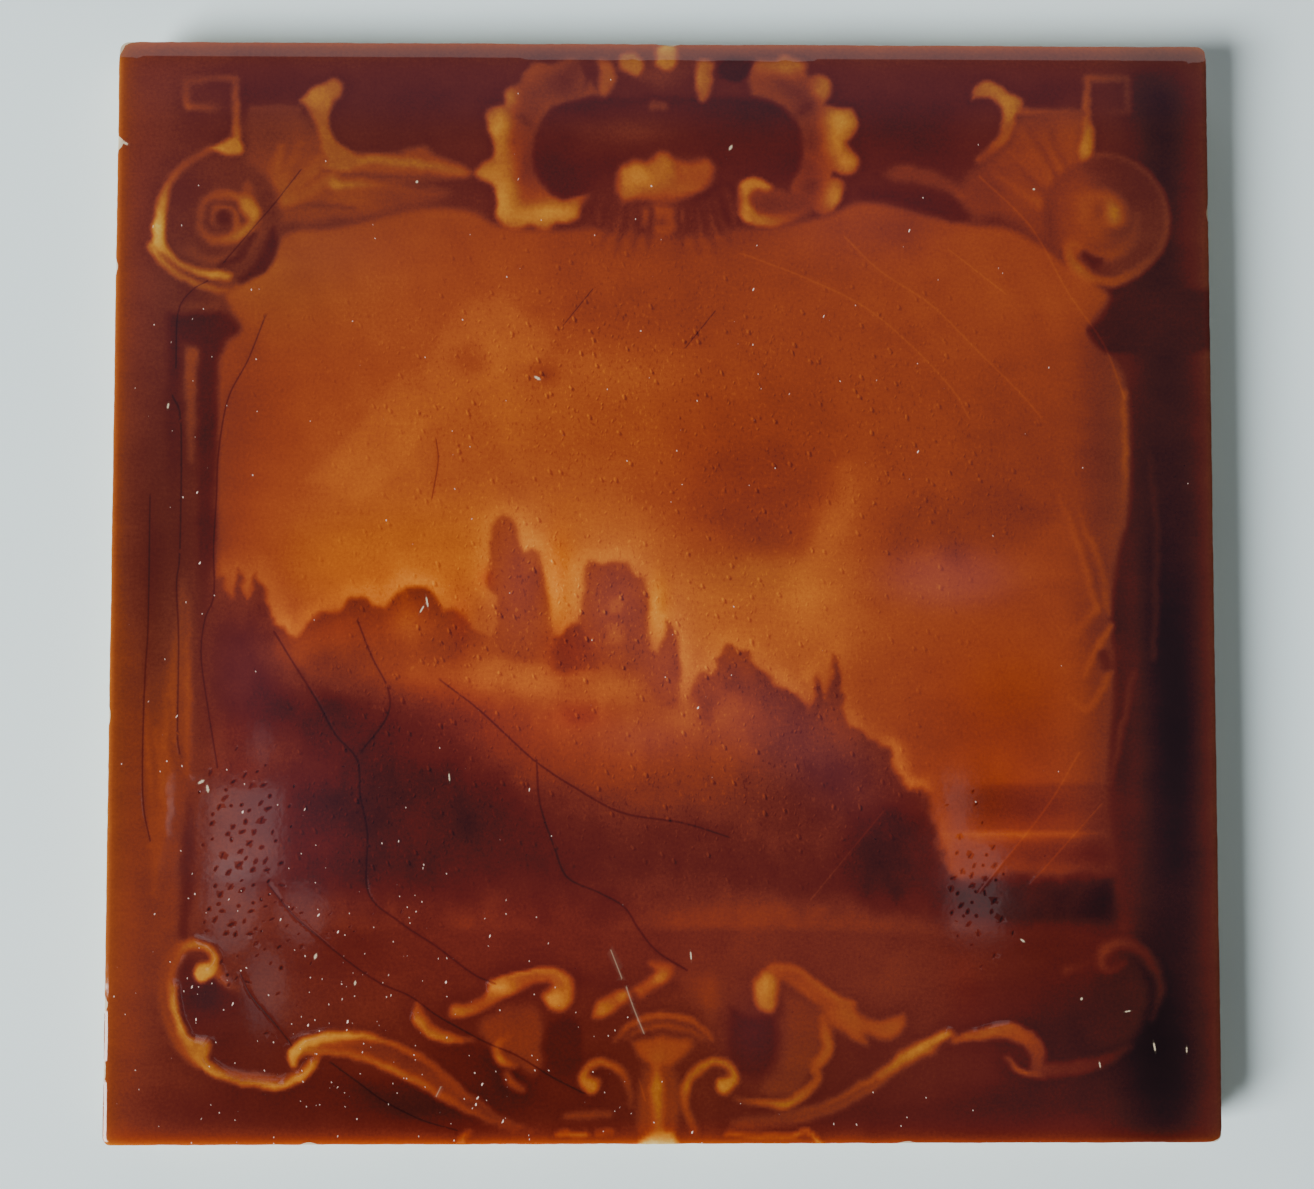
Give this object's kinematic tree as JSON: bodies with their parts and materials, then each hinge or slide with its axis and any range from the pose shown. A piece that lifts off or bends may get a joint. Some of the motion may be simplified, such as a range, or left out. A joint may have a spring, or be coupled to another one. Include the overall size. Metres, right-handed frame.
{
  "type": "decorative ceramic tile",
  "caption": "Square pressed ceramic wall tile with a moulded landscape of ruins and woods in a scrollwork frame, under a pooled amber glaze, and a grooved unglazed back.",
  "frame": {"origin": "middle of the tile on the plane that its back beds on", "axes": "+Z out of the moulded face, +Y to the top of its picture, +X to the picture's right"},
  "size_m": [0.152, 0.152, 0.0094],
  "materials": {
    "glazed_ceramic": "gloss amber glaze, honey on the ridges and near black in the hollows"
  },
  "bodies": {
    "root": {"tile": "glazed_ceramic"}
  },
  "joints": []
}
